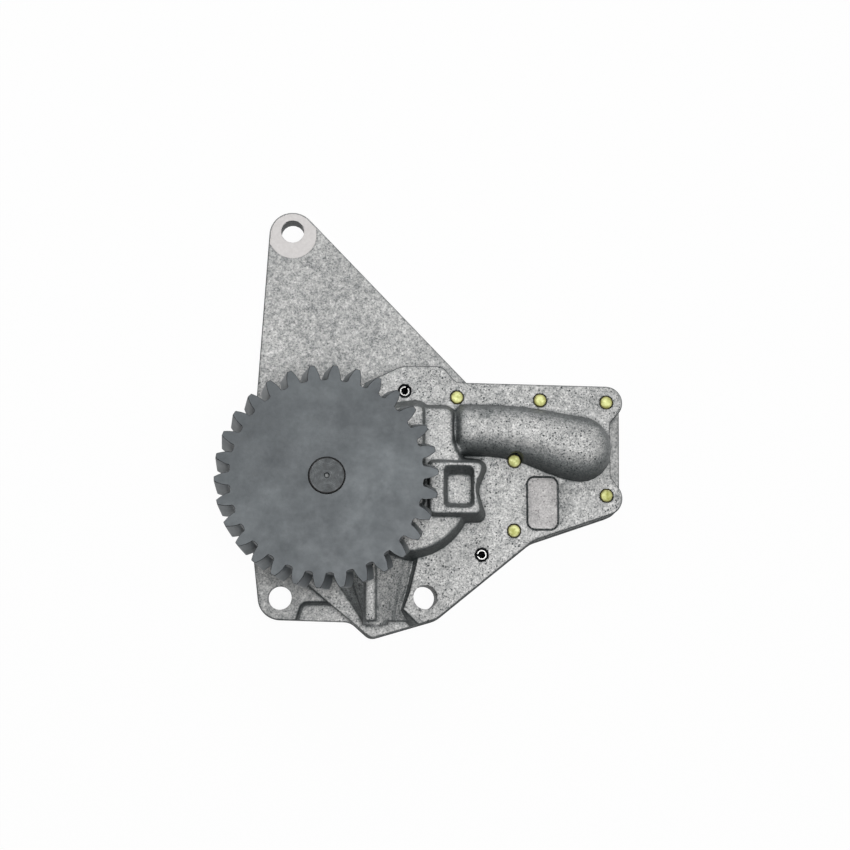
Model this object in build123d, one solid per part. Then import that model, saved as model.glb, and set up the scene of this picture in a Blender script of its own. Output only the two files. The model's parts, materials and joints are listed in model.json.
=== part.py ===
from build123d import *
import math
import os

# Engine oil pump of the external-gear kind, in millimetres.
# The origin is on the drive shaft's axis at the back mounting face. +Z runs along the
# shaft to the drive gear, +Y runs up the bracket arm and +X runs along the suction duct.

# Heights along the shaft
plate_thickness = 10.0
flange_height = 12.0
ledge_height = 5.0
tower_height = 34.0
roof_thickness = 4.8
boss_height = 6.0
end_clearance = 0.1

# Edge of the castings
parting_step = 0.8
edge_round = 1.0

# Reach of the bracket arm along Y and of the two castings along X
arm_reach = 124.5
cover_reach = 131.4

# Mounting holes
mount_bore = 11.0
top_hole = (-17.7, arm_reach)
lower_hole_x = -21.3
lower_hole_y = -51.3
lower_hole_spacing = 67.0
spot_face_depth = 0.4
lug_radius = 11.2
lug_drop = 1.7
left_lug_land = 4.8
right_lug_land = 5.6

# Cover screws, put in from behind
screw_size = 6.0
screw_length = 18.0
screw_head_width = 10.0
screw_head_height = 4.0
screw_socket = 4.0
screw_socket_depth = 2.0
screw_head_sink = 0.4
screw_head_room = 0.5
screw_hole_room = 0.3
thread_room = 0.05
screw_tip_chamfer = 0.4
screw_rim = 0.6
hole_countersink = 0.5
screw_spots = [
    (60.6, 42.0),
    (99.9, 41.0),
    (cover_reach, 40.3),
    (87.4, 12.1),
    (cover_reach - 0.7, -3.9),
    (87.0, -20.6),
    (-25.0, 19.0),
    (-22.0, -24.0),
]

# Slotted spring pins that line up the two castings
pin_size = 6.0
pin_wall = 1.3
pin_chamfer = 0.8
pin_slot = 1.1
pin_hole_room = 0.15
pin_end_sink = 0.5
pin_start = 1.5
upper_pin_spot = (36.0, 44.8)
upper_pin_slot_angle = 60.0
lower_pin_spot = (71.9, -31.7)
lower_pin_slot_angle = 185.0

# Helical drive gear
drive_teeth = 30
drive_module = 3.0
drive_helix = 11.0
drive_pressure_angle = 20.0
drive_dedendum = 1.2
drive_backlash = 0.3
drive_width = 18.0
drive_first_tooth = 86.2
drive_tip_chamfer = 0.6
web_inner_radius = 17.0
web_outer_radius = 36.0
web_depth = 4.5

# Drive shaft and its bearings
shaft_diameter = 16.0
shaft_protrusion = 0.8
shaft_foot = 2.6
shaft_chamfer = 0.8
centre_hole = 2.6
running_room = 0.03
bush_wall = 2.0
front_bush_length = 15.0
rear_bush_length = 7.0
bush_floor_gap = 0.6
washer_thickness = 0.8
washer_width = 6.0
washer_gap = 0.2
washer_bore_room = 0.3

# Pumping gears
pump_teeth = 10
pump_module = 4.0
pump_pressure_angle = 28.0
pump_dedendum = 1.12
pump_backlash = 0.5
pump_gear_width = 18.0
pump_tip_room = 0.3
pump_tip_chamfer = 0.3
key_width = 4.0
key_height = 4.0
key_length = 12.0

# Idler shaft and bush
idler_shaft_diameter = 14.0
idler_shaft_foot = 2.0
idler_shaft_rise = 3.6
idler_shaft_chamfer = 0.6

# Front casting: walls round the pumping chamber
chamber_wall = 8.9
chamber_shift = (-3.5, -2.5)
tower_side_wall = 6.0
chamber_corner = (50.5, 28.0)
chamber_corner_radius = 8.0
plateau_corners = [(54.2, 31.8), (39.5, 31.8), (39.5, 10.0), (54.2, 16.0)]
plateau_corner_radius = 8.2
tower_foot_radius = 27.0
tower_top_radius = 18.5
wall_draft = 15.5
casting_round = 2.0
ledge_corners = [
    (-34, -80), (55, -80), (41.0, -66.5), (31.8, -57.6), (35.2, -48.6), (39.2, -32.0),
    (30, -27), (-4, -33), (-34, -65),
]
ledge_draft = 26.0

# Boss with a square window, and the rib beside the gear
boss_foot = [
    ((70.2, 8.6), 3.9),
    ((49.0, 10.8), 3.9),
    ((49.0, -12.9), 3.9),
    ((70.0, -13.2), 3.5),
    ((79.8, -2.6), -9.2),
]
boss_top = [
    ((68.0, 6.7), 2.5),
    ((49.0, 6.7), 2.5),
    ((49.0, -11.7), 2.3),
    ((67.6, -12.0), 2.0),
    ((77.6, -2.7), -10.0),
]
window_floor_centre = (60.7, -2.4)
window_floor_size = (11.0, 13.2)
window_mouth_centre = (59.8, -1.7)
window_mouth_size = (13.6, 19.4)
window_corner = 2.0
window_depth = 7.0
rib_crest = [(41.0, -8.0), (41.0, 33.0), (27.0, 31.0)]
rib_width = 5.0
rib_height = 4.0
rib_draft = 18.0

# Lugs of the front casting
pin_lug_radius = 12.1
pin_lug_shift = 1.5
pin_lug_corner = 5.0
pin_lug_width = 14.0
pin_lug_hollow = (11.1, 2.3)
top_land = 7.8
corner_land = 8.2
corner_shift = (-0.5, -1.1)
left_land = 7.8
valley_radius = 14.8
valley_setback = 28.3
valley_centre = (cover_reach - valley_setback, -38.4)
toe_radius = 4.1
toe_centre = (22.0, -65.4)

# Sloping skirt that fairs the valve body into the flange, and the ridge on it, as sections across Y
skirt_toe_y = -62.0
skirt_toe = [
    (16.8, 12.0), (16.8, 15.0), (17.2, 17.5), (18.4, 27.0), (23.0, 27.0), (40.0, 14.5), (40.0, 12.0),
]
skirt_root_y = -26.0
skirt_root = [
    (-8.0, 12.0), (-8.0, 15.0), (3.0, 21.6), (17.8, 30.0), (23.6, 30.0), (46.0, 16.0), (46.0, 12.0),
]
ridge_toe = [(16.8, 20.0), (17.9, 28.6), (18.9, 29.4), (21.7, 29.4), (22.7, 28.6), (23.8, 20.0)]
ridge_rise = 2.4

# Suction duct
duct_wall = 3.2
duct_level = 22.0
suction_setback = 13.4
suction_spot = (cover_reach - suction_setback, 18.0)
suction_bore = 22.0
suction_bolt_spacing = 39.0
suction_bolt_tap = 5.0
suction_bolt_depth = 8.5
duct_start = (62.3, 26.4)
duct_start_radius = 12.0
duct_start_bevel = 2.0
duct_shoulder = (42.0, 8.3)
duct_shoulder_radius = 12.0
duct_bend = (24.0, 6.0)
duct_bend_radius = 13.0
duct_swell = (11.5, 2.6)
duct_swell_radius = 14.4
duct_end_radius = 15.0
duct_dome_lip = 0.1
duct_neck_radius = 5.5
duct_neck_start = 48.0
duct_neck_level = 20.0
notch_round = 2.5
notch_low_y = 6.0
notch_high_y = 29.5

# Blank pad on the flange, marked out by a fine groove
pad_centre = (100.5, -7.6)
pad_size = (13.9, 24.0)
pad_corner = 3.5
pad_groove_width = 0.7
pad_groove_depth = 0.4

# Pressure port and passages
passage_radius = 7.0
passage_height = 15.0
suction_run = [(20.0, 17.5), (48.0, 21.5), (46.0, 25.0)]
pressure_run = [(20.0, -17.0), (6.0, -33.0), (18.2, -27.0)]
pressure_spot = (6.0, -33.0)
pressure_bore = 13.0
port_step = 0.8

# Face seals round the two ports
seal_section = 2.4
seal_land = 2.6
seal_room = 0.1

# Relief valve, along Y below the drive shaft
valve_x = 22.6
valve_z = 20.0
valve_bore = 8.0
valve_wall = 2.0
valve_seat_y = -37.0
valve_inlet = 5.5
valve_mouth_y = -64.0
valve_rest_gap = 0.3
piston_length = 12.0
piston_crown = 3.5
piston_wall = 1.1
plug_diameter = 9.6
plug_length = 6.0
plug_socket = 4.0
plug_socket_depth = 3.0
shim_thickness = 1.0
shim_room = 0.2
spring_wire = 0.8
spring_turns = 5.5
spring_room = 0.4
drain_bore = 5.0
drain_drop = 8.0

# Bracket arm
arm_web = 4.5
arm_pocket_round = 3.0
bulge_centre = (-4.6, -8.0)
bulge_radius = 32.0
arm_corner = (69.5, 52.3)
arm_corner_radius = 3.0
heel_centre = (8.5, -70.0)
heel_radius = 7.5
foot_recess_depth = 3.0
foot_recess_draft = 35.0
foot_recess_round = 2.3
foot_recess = [(-8.4, -57.2), (-11.0, -66.5), (14.0, -66.5), (2.6, -57.2)]
arm_pocket_foot = 62.5
arm_pocket_setback = 23.5
arm_pocket_top = arm_reach - arm_pocket_setback
arm_pockets = [
    [
        (-22.5, arm_pocket_top), (-25.5, arm_pocket_foot),
        (-7.0, arm_pocket_foot), (-12.5, arm_pocket_top),
    ],
    [(1.5, arm_pocket_top), (1.5, arm_pocket_foot), (40.0, arm_pocket_foot)],
]

# Levels and radii that follow from the sizes above
parting_z = plate_thickness
ledge_z = parting_z + ledge_height
flange_z = parting_z + flange_height
pocket_depth = pump_gear_width + 2 * end_clearance
pocket_top_z = parting_z + pocket_depth
roof_z = pocket_top_z + roof_thickness
boss_z = roof_z + boss_height
tower_z = parting_z + tower_height
gear_rear_z = tower_z + washer_thickness + washer_gap
gear_front_z = gear_rear_z + drive_width
shaft_end_z = gear_front_z + shaft_protrusion
shaft_radius = shaft_diameter / 2
bush_radius = shaft_radius + bush_wall
valve_radius = valve_bore / 2 + valve_wall
drain_y = valve_seat_y - drain_drop
pump_pitch_radius = pump_teeth * pump_module / 2
centre_distance = 2 * pump_pitch_radius
pump_tip_radius = pump_pitch_radius + pump_module
pocket_radius = pump_tip_radius + pump_tip_room
idler_spot = (centre_distance, 0.0)
chamber_spot = (idler_spot[0] + chamber_shift[0], idler_spot[1] + chamber_shift[1])
screw_seat_z = screw_head_sink + screw_head_height
screw_end_z = screw_seat_z + screw_length
left_hole = (lower_hole_x, lower_hole_y)
right_hole = (lower_hole_x + lower_hole_spacing, lower_hole_y)
top_lug = (top_hole[0], top_hole[1] - lug_drop)
corner_lobe = (screw_spots[4][0] + corner_shift[0], screw_spots[4][1] + corner_shift[1])


def tangent_outline(lobes):
    """Face whose edge wraps a ring of (centre, radius) circles with straight tangents.

    The ring runs anticlockwise, and a negative radius makes a hollow corner.
    """
    count = len(lobes)
    normals = []
    for index in range(count):
        here, radius = lobes[index]
        there, next_radius = lobes[(index + 1) % count]
        run = Vector(*there) - Vector(*here)
        along = run.normalized()
        outward = Vector(along.Y, -along.X)
        lean = math.asin((radius - next_radius) / run.length)
        normals.append(outward * math.cos(lean) + along * math.sin(lean))
    edges = []
    for index in range(count):
        centre = Vector(*lobes[index][0])
        radius = lobes[index][1]
        arriving = normals[index - 1]
        leaving = normals[index]
        middle = (arriving + leaving).normalized()
        edges.append(ThreePointArc(
            centre + arriving * radius, centre + middle * radius, centre + leaving * radius))
        there, next_radius = lobes[(index + 1) % count]
        edges.append(Line(centre + leaving * radius, Vector(*there) + leaving * next_radius))
    return make_face(edges)


def slab(face, bottom, top, taper=0.0):
    """Plate between two heights, drawn in by the taper angle as it rises."""
    return extrude(Pos(0, 0, bottom) * face, amount=top - bottom, taper=taper)


def rod(spot, radius, bottom, top):
    """Upright cylinder between two heights."""
    return Pos(spot[0], spot[1], (bottom + top) / 2) * Cylinder(radius, top - bottom)


def countersink(spot, hole_radius):
    """Cone that breaks the edge of a hole in the flange's face."""
    middle = Pos(spot[0], spot[1], flange_z - hole_countersink / 2)
    return middle * Cone(hole_radius, hole_radius + hole_countersink, hole_countersink)


def lengthwise_rod(radius, start_y, end_y):
    """Cylinder on the relief valve's axis between two places along Y."""
    middle = Pos(valve_x, (start_y + end_y) / 2, valve_z)
    return middle * Rot(90, 0, 0) * Cylinder(radius, abs(end_y - start_y))


def involute_point(base_radius, radius, start_angle, side):
    """Point of an involute flank where it meets a given radius."""
    roll = math.sqrt((radius / base_radius) ** 2 - 1)
    angle = start_angle + side * (roll - math.atan(roll))
    return Vector(radius * math.cos(angle), radius * math.sin(angle))


def gear_face(teeth, module, pressure_angle, addendum, dedendum, backlash, tip_chamfer, first_tooth):
    """Gear outline with involute flanks, chamfered tips and arcs at the roots."""
    pitch_radius = teeth * module / 2
    tip_radius = pitch_radius + addendum
    root_radius = pitch_radius - dedendum
    base_radius = pitch_radius * math.cos(math.radians(pressure_angle))
    flank_start = max(base_radius, root_radius)
    flank_steps = 4
    flank_end = tip_radius - tip_chamfer
    pressure = math.radians(pressure_angle)
    half_tooth = (math.pi / 2 - backlash / (2 * module)) / teeth
    half_base = half_tooth + math.tan(pressure) - pressure
    pitch_angle = 2 * math.pi / teeth
    edges = []
    for tooth in range(teeth):
        middle = math.radians(first_tooth) + tooth * pitch_angle
        radii = [flank_start + (flank_end - flank_start) * step / flank_steps
                 for step in range(flank_steps + 1)]
        rising = [involute_point(base_radius, radius, middle - half_base, 1) for radius in radii]
        falling = [involute_point(base_radius, radius, middle + half_base, -1) for radius in radii]
        falling.reverse()
        tip = Vector(tip_radius * math.cos(middle), tip_radius * math.sin(middle))
        half_tip = rising[-1].get_angle(tip) - math.degrees(tip_chamfer / tip_radius)
        tip_start = tip.rotate(Axis.Z, -half_tip)
        tip_end = tip.rotate(Axis.Z, half_tip)
        entry = rising[0] * (root_radius / flank_start)
        leave = falling[-1] * (root_radius / flank_start)
        gap_angle = middle + pitch_angle / 2
        gap = Vector(root_radius * math.cos(gap_angle), root_radius * math.sin(gap_angle))
        next_entry = entry.rotate(Axis.Z, math.degrees(pitch_angle))
        if root_radius < base_radius:
            edges.append(Line(entry, rising[0]))
        edges.append(Spline(*rising))
        edges.append(Line(rising[-1], tip_start))
        edges.append(ThreePointArc(tip_start, tip, tip_end))
        edges.append(Line(tip_end, falling[0]))
        edges.append(Spline(*falling))
        if root_radius < base_radius:
            edges.append(Line(falling[-1], leave))
        edges.append(ThreePointArc(leave, gap, next_entry))
    return make_face(edges)


def front_lobes(step):
    """Ring of circles round the front casting, each grown outward by a step."""
    pin_lug = (upper_pin_spot[0] + pin_lug_shift, upper_pin_spot[1])
    lug_corner_y = upper_pin_spot[1] + pin_lug_radius - pin_lug_corner
    lug_corner = (pin_lug[0] + pin_lug_width, lug_corner_y)
    hollow = (lug_corner[0] + pin_lug_hollow[0], lug_corner[1] + pin_lug_hollow[1])
    notch_x = suction_spot[0] + duct_end_radius + notch_round
    return [
        (screw_spots[2], top_land + step),
        (hollow, -pin_lug_corner - step),
        (lug_corner, pin_lug_corner + step),
        (pin_lug, pin_lug_radius + step),
        (screw_spots[6], left_land + step),
        (screw_spots[7], left_land + step),
        (toe_centre, toe_radius + step),
        (right_hole, mount_bore / 2 + right_lug_land + step),
        (valley_centre, -valley_radius + step),
        (corner_lobe, corner_land + step),
        ((notch_x, notch_low_y), -notch_round + step),
        ((notch_x, notch_high_y), -notch_round + step),
    ]


def rear_outline():
    """Outline of the rear casting with its bracket arm."""
    return tangent_outline([
        (top_lug, lug_radius),
        (bulge_centre, bulge_radius),
        (left_hole, mount_bore / 2 + left_lug_land),
        (heel_centre, -heel_radius),
        (toe_centre, toe_radius + parting_step),
        (right_hole, mount_bore / 2 + right_lug_land + parting_step),
        (valley_centre, -valley_radius + parting_step),
        (corner_lobe, corner_land + parting_step),
        (screw_spots[2], top_land + parting_step),
        (arm_corner, -arm_corner_radius),
    ])


def duct_path():
    """Centre and radius of the suction duct's sections, from the pumping chamber to the port."""
    bends = [
        (duct_shoulder, duct_shoulder_radius),
        (duct_bend, duct_bend_radius),
        (duct_swell, duct_swell_radius),
    ]
    path = [(Vector(*duct_start), duct_start_radius)]
    for (back, up), radius in bends:
        path.append((Vector(suction_spot[0] - back, suction_spot[1] + up), radius))
    path.append((Vector(*suction_spot), duct_end_radius))
    return path


def duct_solid(inset):
    """Suction duct that swells towards the port and ends in a dome, shrunk by an inset."""
    path = duct_path()
    sections = []
    for index, (spot, radius) in enumerate(path):
        heading = path[min(index + 1, len(path) - 1)][0] - path[max(index - 1, 0)][0]
        place = Plane(origin=(spot.X, spot.Y, duct_level), z_dir=(heading.X, heading.Y, 0))
        sections.append(place * Circle(radius - inset))
    dome_radius = duct_end_radius + duct_dome_lip - inset
    dome = Pos(suction_spot[0], suction_spot[1], duct_level) * Sphere(dome_radius)
    return loft(sections) + dome


def duct_neck(radius, end_x):
    """Cylinder along X that leads from the pumping chamber into the suction duct."""
    middle = Pos((duct_neck_start + end_x) / 2, duct_start[1], duct_neck_level)
    return middle * Rot(0, 90, 0) * Cylinder(radius, end_x - duct_neck_start)


def passages():
    """Hollows of the front casting that open at the parting face, and the duct's inside."""
    top = parting_z + passage_height
    return [
        rod((0, 0), pocket_radius, parting_z, pocket_top_z),
        rod(idler_spot, pocket_radius, parting_z, pocket_top_z),
        slab(tangent_outline([(spot, passage_radius) for spot in suction_run]), parting_z, top),
        slab(tangent_outline([(spot, passage_radius) for spot in pressure_run]), parting_z, top),
        duct_neck(duct_neck_radius, duct_start[0] + duct_wall),
        duct_solid(duct_wall),
        rod(suction_spot, suction_bore / 2 + port_step, parting_z, duct_level),
    ]


def round_top(solid, radius):
    """Round the edges of a solid's top face."""
    return fillet(solid.faces().sort_by(Axis.Z)[-1].edges(), radius)


def valve_fairing():
    """Skirt and ridge over the relief valve's bore."""
    valve_body = lengthwise_rod(valve_radius, valve_mouth_y, skirt_root_y)
    toe_plane = Plane.XZ.offset(-skirt_toe_y)
    root_plane = Plane.XZ.offset(-skirt_root_y)
    ridge_root = [(x, z + ridge_rise) for x, z in ridge_toe]
    skirt = loft([
        toe_plane * make_face(Polyline(*skirt_toe, close=True)),
        root_plane * make_face(Polyline(*skirt_root, close=True)),
    ], ruled=True)
    ridge = loft([
        toe_plane * make_face(Polyline(*ridge_toe, close=True)),
        root_plane * make_face(Polyline(*ridge_root, close=True)),
    ], ruled=True)
    return valve_body + skirt + ridge


def window_boss():
    """Boss whose sloping top holds a square window."""
    pier = slab(tangent_outline(boss_foot), ledge_z, flange_z)
    head = loft([
        Pos(0, 0, flange_z) * tangent_outline(boss_foot),
        Pos(0, 0, boss_z) * tangent_outline(boss_top),
    ], ruled=True)
    return pier + round_top(head, edge_round)


def window_recess():
    """Hollow of the boss's window, with walls that slope in towards its floor."""
    floor_z = boss_z - window_depth
    return loft([
        Pos(*window_floor_centre, floor_z) * RectangleRounded(*window_floor_size, window_corner),
        Pos(*window_mouth_centre, boss_z) * RectangleRounded(*window_mouth_size, window_corner),
    ], ruled=True)


def gear_side_rib():
    """Wall beside the drive gear that turns a corner towards the tower."""
    height = roof_z + rib_height - ledge_z
    foot_width = rib_width + 2 * height * math.tan(math.radians(rib_draft))
    wall = Sketch()
    for start, end in zip(rib_crest, rib_crest[1:]):
        run = Vector(*end) - Vector(*start)
        middle = (Vector(*start) + Vector(*end)) / 2
        angle = math.degrees(math.atan2(run.Y, run.X))
        wall += Pos(middle.X, middle.Y) * Rot(0, 0, angle) * SlotCenterToCenter(run.length, foot_width)
    return round_top(slab(wall, ledge_z, ledge_z + height, rib_draft), edge_round)


def front_housing():
    """Front casting with the tower, the chamber walls, the duct and the valve body."""
    outline = tangent_outline(front_lobes(0.0))
    bottom_region = make_face(Polyline(*ledge_corners, close=True))
    flange = slab(outline, parting_z, flange_z)
    flange = fillet(flange.faces().sort_by(Axis.Z)[-1].edges(), edge_round)
    body = flange - slab(bottom_region, ledge_z, flange_z, -ledge_draft)

    tower = Pos(0, 0, (ledge_z + tower_z) / 2) * Cone(
        tower_foot_radius, tower_top_radius, tower_z - ledge_z)
    tower = chamfer(tower.faces().sort_by(Axis.Z)[-1].edges(), edge_round)
    chamber = tangent_outline([
        (chamber_corner, chamber_corner_radius),
        ((0, 0), pocket_radius + tower_side_wall),
        (chamber_spot, pocket_radius + chamber_wall),
    ])
    chamber_block = round_top(slab(chamber, ledge_z, roof_z, wall_draft), casting_round)
    plateau = tangent_outline([(corner, plateau_corner_radius) for corner in plateau_corners])
    plateau_block = round_top(slab(plateau, ledge_z, roof_z, wall_draft), casting_round)
    duct = duct_solid(0.0) + duct_neck(duct_neck_radius + duct_wall, duct_start[0])
    heading = duct_path()[0][0] - duct_path()[1][0]
    start_plane = Plane(origin=(*duct_start, duct_level), z_dir=(heading.X, heading.Y, 0))
    duct += start_plane * Pos(0, 0, duct_start_bevel / 2) * Cone(
        duct_start_radius, duct_start_radius - duct_start_bevel, duct_start_bevel)

    raised = tower + chamber_block + plateau_block + window_boss() + gear_side_rib()
    raised += valve_fairing() + duct
    body += raised & slab(outline, parting_z, tower_z)
    body -= window_recess()

    for hollow in passages():
        body -= hollow
    body -= rod((0, 0), bush_radius, parting_z, tower_z)
    body -= rod(idler_spot, idler_shaft_diameter / 2, parting_z, pocket_top_z + idler_shaft_rise)

    body -= lengthwise_rod(valve_inlet / 2, skirt_root_y, valve_seat_y)
    body -= lengthwise_rod(valve_bore / 2, valve_seat_y, valve_mouth_y)
    body -= lengthwise_rod(plug_diameter / 2, valve_mouth_y + plug_length, valve_mouth_y)
    body -= rod((valve_x, drain_y), drain_bore / 2, parting_z, valve_z)

    for spot in screw_spots:
        body -= rod(spot, screw_size / 2 + thread_room, parting_z, flange_z)
        body -= rod(spot, screw_size / 2 + screw_rim, flange_z, boss_z)
        body -= countersink(spot, screw_size / 2 + thread_room)
    for spot in (upper_pin_spot, lower_pin_spot):
        body -= rod(spot, pin_size / 2 + pin_hole_room, parting_z, flange_z)
        body -= countersink(spot, pin_size / 2 + pin_hole_room)
    body -= rod(right_hole, mount_bore / 2, parting_z, flange_z)
    pad = RectangleRounded(*pad_size, pad_corner)
    groove = offset(pad, pad_groove_width) - pad
    body -= slab(Pos(*pad_centre) * groove, flange_z - pad_groove_depth, flange_z)
    return body


def rear_housing():
    """Rear casting with the bracket arm, the ports and the screw seats."""
    body = slab(rear_outline(), 0, plate_thickness)
    body = chamfer(body.faces().sort_by(Axis.Z)[-1].edges(), edge_round / 2)
    for corners in arm_pockets:
        pocket = tangent_outline([(corner, arm_pocket_round) for corner in corners])
        body -= slab(pocket, 0, plate_thickness - arm_web)
    body -= rod(top_lug, lug_radius + edge_round, plate_thickness - spot_face_depth, plate_thickness)
    recess = tangent_outline([(corner, foot_recess_round) for corner in foot_recess])
    body -= slab(recess, plate_thickness - foot_recess_depth, plate_thickness, -foot_recess_draft)

    for spot in (top_hole, left_hole, right_hole):
        body -= rod(spot, mount_bore / 2, 0, plate_thickness)
    for spot in screw_spots:
        body -= rod(spot, screw_size / 2 + screw_hole_room, 0, plate_thickness)
        body -= rod(spot, screw_head_width / 2 + screw_head_room, 0, screw_seat_z)
    for spot in (upper_pin_spot, lower_pin_spot):
        body -= rod(spot, pin_size / 2 + pin_hole_room, pin_start, plate_thickness)

    bush_floor_z = plate_thickness - rear_bush_length - bush_floor_gap
    body -= rod((0, 0), bush_radius, bush_floor_z, plate_thickness)
    body -= rod(idler_spot, idler_shaft_diameter / 2, idler_shaft_foot, plate_thickness)
    body -= rod(suction_spot, suction_bore / 2, 0, plate_thickness)
    body -= rod(pressure_spot, pressure_bore / 2, 0, plate_thickness)
    body -= rod((valve_x, drain_y), drain_bore / 2, 0, plate_thickness)
    for side in (-1, 1):
        spot = (suction_spot[0], suction_spot[1] + side * suction_bolt_spacing / 2)
        body -= rod(spot, suction_bolt_tap / 2, 0, suction_bolt_depth)
    for spot, bore in ((suction_spot, suction_bore), (pressure_spot, pressure_bore)):
        inner = bore / 2 + seal_land
        ring = Circle(inner + seal_section) - Circle(inner)
        body -= slab(Pos(*spot) * ring, 0, seal_section)
    return body


def port_seal(spot, bore):
    """Square-cut rubber ring in the face groove round a port."""
    inner = bore / 2 + seal_land + seal_room
    ring = Circle(inner + seal_section - 2 * seal_room) - Circle(inner)
    seal = slab(Pos(*spot) * ring, 0, seal_section)
    return chamfer(seal.faces().sort_by(Axis.Z)[0].edges(), seal_section / 6)


def cover_screw(spot):
    """Low-head socket screw with its head at the back."""
    shank = rod(spot, screw_size / 2, screw_seat_z, screw_end_z)
    shank = chamfer(shank.faces().sort_by(Axis.Z)[-1].edges(), screw_tip_chamfer)
    head = rod(spot, screw_head_width / 2, screw_head_sink, screw_seat_z)
    head = chamfer(head.faces().sort_by(Axis.Z)[0].edges(), screw_tip_chamfer)
    socket_face = Pos(*spot) * RegularPolygon(screw_socket / 2, 6, major_radius=False)
    socket = slab(socket_face, screw_head_sink, screw_head_sink + screw_socket_depth)
    return shank + head - socket


def spring_pin(spot, slot_angle):
    """Slotted spring pin through both castings."""
    top = flange_z - pin_end_sink
    pin = rod((0, 0), pin_size / 2, pin_start, top)
    pin = chamfer(pin.edges().filter_by(GeomType.CIRCLE), pin_chamfer)
    pin -= rod((0, 0), pin_size / 2 - pin_wall, pin_start, top)
    slot = Pos(pin_size / 2, 0, (pin_start + top) / 2) * Box(pin_size, pin_slot, top - pin_start)
    return Pos(*spot) * Rot(0, 0, slot_angle) * (pin - slot)


def drive_gear():
    """Helical gear pressed on the shaft's front end."""
    helix = math.radians(drive_helix)
    transverse_module = drive_module / math.cos(helix)
    pressure = math.degrees(math.atan(math.tan(math.radians(drive_pressure_angle)) / math.cos(helix)))
    pitch_radius = drive_teeth * transverse_module / 2
    twist = math.degrees(drive_width * math.tan(helix) / pitch_radius)
    profile = gear_face(
        drive_teeth, transverse_module, pressure, drive_module, drive_dedendum * drive_module,
        drive_backlash, drive_tip_chamfer, drive_first_tooth)
    front = Pos(0, 0, gear_front_z) * profile
    rear = Pos(0, 0, gear_rear_z) * Rot(0, 0, twist) * profile
    body = loft([rear, front], ruled=True)
    web = Circle(web_outer_radius) - Circle(web_inner_radius)
    body -= slab(web, gear_rear_z, gear_rear_z + web_depth)
    body -= rod((0, 0), shaft_radius, gear_rear_z, gear_front_z)
    return body


def drive_shaft():
    """Shaft that carries the drive gear and the driving pump gear."""
    shaft = rod((0, 0), shaft_radius, shaft_foot, shaft_end_z)
    shaft = chamfer(shaft.faces().sort_by(Axis.Z)[0].edges(), shaft_chamfer)
    shaft = chamfer(shaft.faces().sort_by(Axis.Z)[-1].edges(), shaft_chamfer / 2)
    centre = Pos(0, 0, shaft_end_z - centre_hole / 2) * Cone(0.0, centre_hole / 2, centre_hole)
    return shaft - centre - key_block()


def key_block():
    """Room that the key takes in the shaft and in the driving pump gear."""
    middle_z = parting_z + end_clearance + pump_gear_width / 2
    return Pos(shaft_radius, 0, middle_z) * Box(key_height, key_width, key_length)


def pump_gear(first_tooth):
    """One of the two equal spur gears that move the oil."""
    profile = gear_face(
        pump_teeth, pump_module, pump_pressure_angle, pump_module, pump_dedendum * pump_module,
        pump_backlash, pump_tip_chamfer, first_tooth)
    bottom = parting_z + end_clearance
    return slab(profile, bottom, bottom + pump_gear_width)


def driving_pump_gear():
    """Pump gear keyed to the drive shaft."""
    bottom = parting_z + end_clearance
    body = pump_gear(0.0) - rod((0, 0), shaft_radius, bottom, bottom + pump_gear_width)
    slot_depth = shaft_radius + key_height / 2
    slot = Pos(slot_depth / 2, 0, bottom + pump_gear_width / 2) * Box(
        slot_depth, key_width, pump_gear_width)
    return body - slot


def idler_bush():
    """Bronze bush pressed in the idler gear."""
    inner = idler_shaft_diameter / 2 + running_room
    bottom = parting_z + end_clearance
    ring = Circle(inner + bush_wall) - Circle(inner)
    return Pos(*idler_spot) * slab(ring, bottom, bottom + pump_gear_width)


def idler_gear():
    """Pump gear that turns on the fixed idler shaft."""
    half_pitch = 180.0 / pump_teeth
    bottom = parting_z + end_clearance
    bore = idler_shaft_diameter / 2 + running_room + bush_wall
    body = pump_gear(180.0 + half_pitch) - rod((0, 0), bore, bottom, bottom + pump_gear_width)
    return Pos(*idler_spot) * body


def idler_shaft():
    """Fixed pin between the two castings."""
    pin = rod(idler_spot, idler_shaft_diameter / 2, idler_shaft_foot, pocket_top_z + idler_shaft_rise)
    return chamfer(pin.edges().filter_by(GeomType.CIRCLE), idler_shaft_chamfer)


def shaft_bush(bottom, length):
    """Bronze bearing bush of the drive shaft."""
    ring = Circle(bush_radius) - Circle(shaft_radius + running_room)
    return slab(ring, bottom, bottom + length)


def thrust_washer():
    """Bronze washer between the tower and the drive gear."""
    inner = shaft_radius + washer_bore_room
    ring = Circle(inner + washer_width) - Circle(inner)
    return slab(ring, tower_z, tower_z + washer_thickness)


def relief_piston():
    """Cup-shaped piston that closes the relief valve's inlet."""
    front_y = valve_seat_y - valve_rest_gap
    back_y = front_y - piston_length
    radius = valve_bore / 2 - running_room
    body = lengthwise_rod(radius, front_y, back_y)
    body = chamfer(body.faces().sort_by(Axis.Y)[-1].edges(), edge_round)
    return body - lengthwise_rod(radius - piston_wall, front_y - piston_crown, back_y)


def relief_plug():
    """Flush screw plug with a hexagon socket."""
    body = lengthwise_rod(plug_diameter / 2, valve_mouth_y + plug_length, valve_mouth_y)
    socket_face = Plane.XZ * RegularPolygon(plug_socket / 2, 6, major_radius=False)
    socket = extrude(socket_face, amount=-plug_socket_depth)
    return body - Pos(valve_x, valve_mouth_y, valve_z) * socket


def relief_shim():
    """Steel shim between the spring and the plug."""
    face_y = valve_mouth_y + plug_length
    return lengthwise_rod(valve_bore / 2 - shim_room, face_y + shim_thickness, face_y)


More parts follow.
